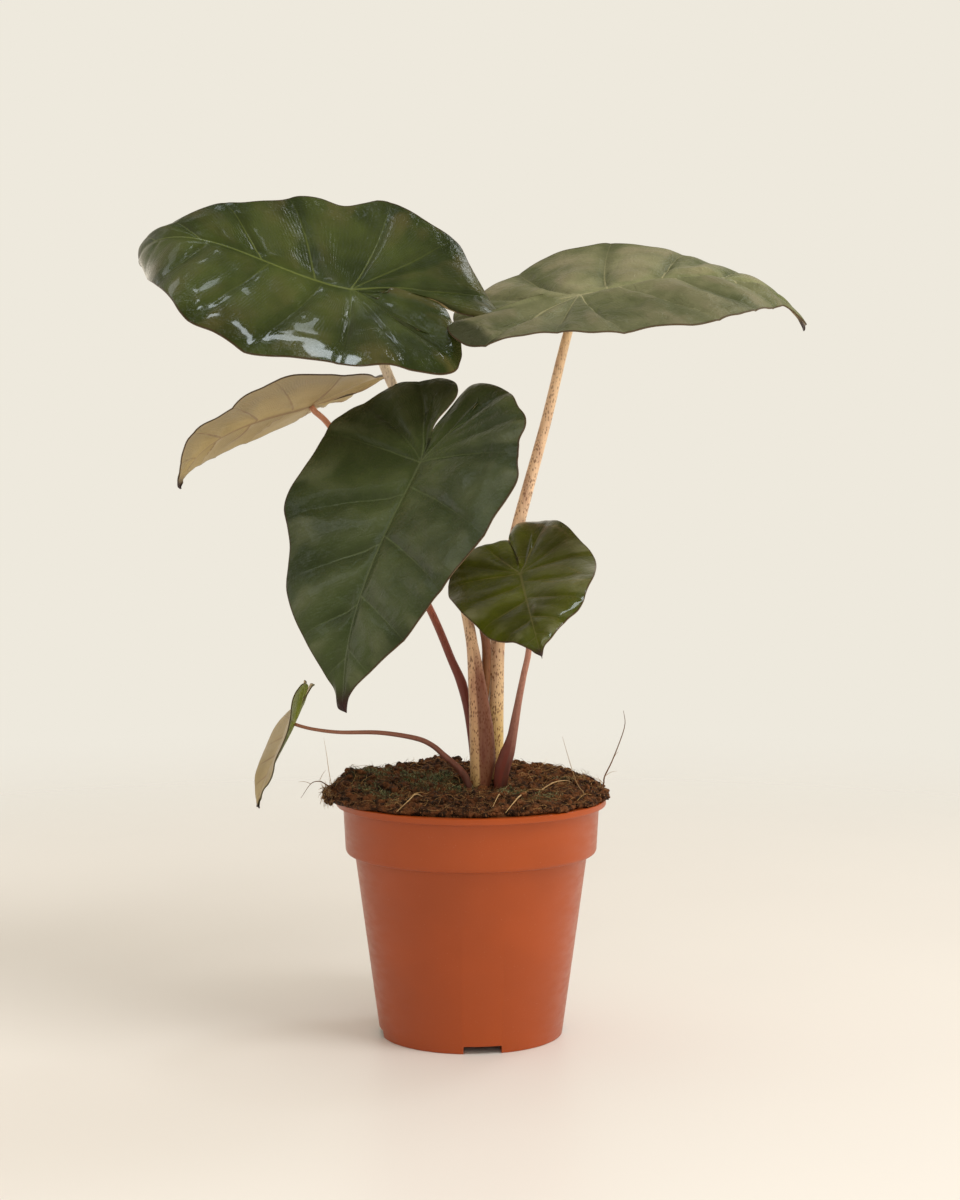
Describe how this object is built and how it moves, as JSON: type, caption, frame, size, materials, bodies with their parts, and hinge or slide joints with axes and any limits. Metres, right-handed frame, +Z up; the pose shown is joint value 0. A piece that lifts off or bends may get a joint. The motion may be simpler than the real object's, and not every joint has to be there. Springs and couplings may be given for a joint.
{
  "type": "potted alocasia plant",
  "caption": "Alocasia house plant with arrow-shaped glossy leaves on slender speckled stalks, rooted in potting mix in a tapered nursery pot.",
  "frame": {"origin": "middle of the pot's underside, on the surface it stands on", "axes": "+Z up; the front of the plant, the side seen in the picture, faces -Y; +X is to the right there"},
  "size_m": [0.4387, 0.2524, 0.5334],
  "materials": {
    "pot_plastic": "satin moulded",
    "potting_mix": "rough crumbly",
    "corm_skin": "matte fibrous",
    "blade_gloss": "glossy",
    "blade_satin": "satin",
    "blade_matte": "soft satin",
    "blade_bronze": "satin",
    "petiole_pale": "satin, finely speckled",
    "petiole_maroon": "satin"
  },
  "bodies": {
    "root": {"pot": "pot_plastic", "soil": "potting_mix", "corm": "corm_skin", "blade_upper_left": "blade_gloss", "petiole_upper_left": "petiole_pale", "blade_upper_right": "blade_matte", "petiole_upper_right": "petiole_pale", "blade_back_left": "blade_bronze", "petiole_back_left": "petiole_maroon", "blade_front": "blade_satin", "petiole_front": "petiole_maroon", "blade_small_right": "blade_gloss", "petiole_small_right": "petiole_maroon", "blade_tiny_left": "blade_bronze", "petiole_tiny_left": "petiole_maroon"}
  },
  "joints": []
}
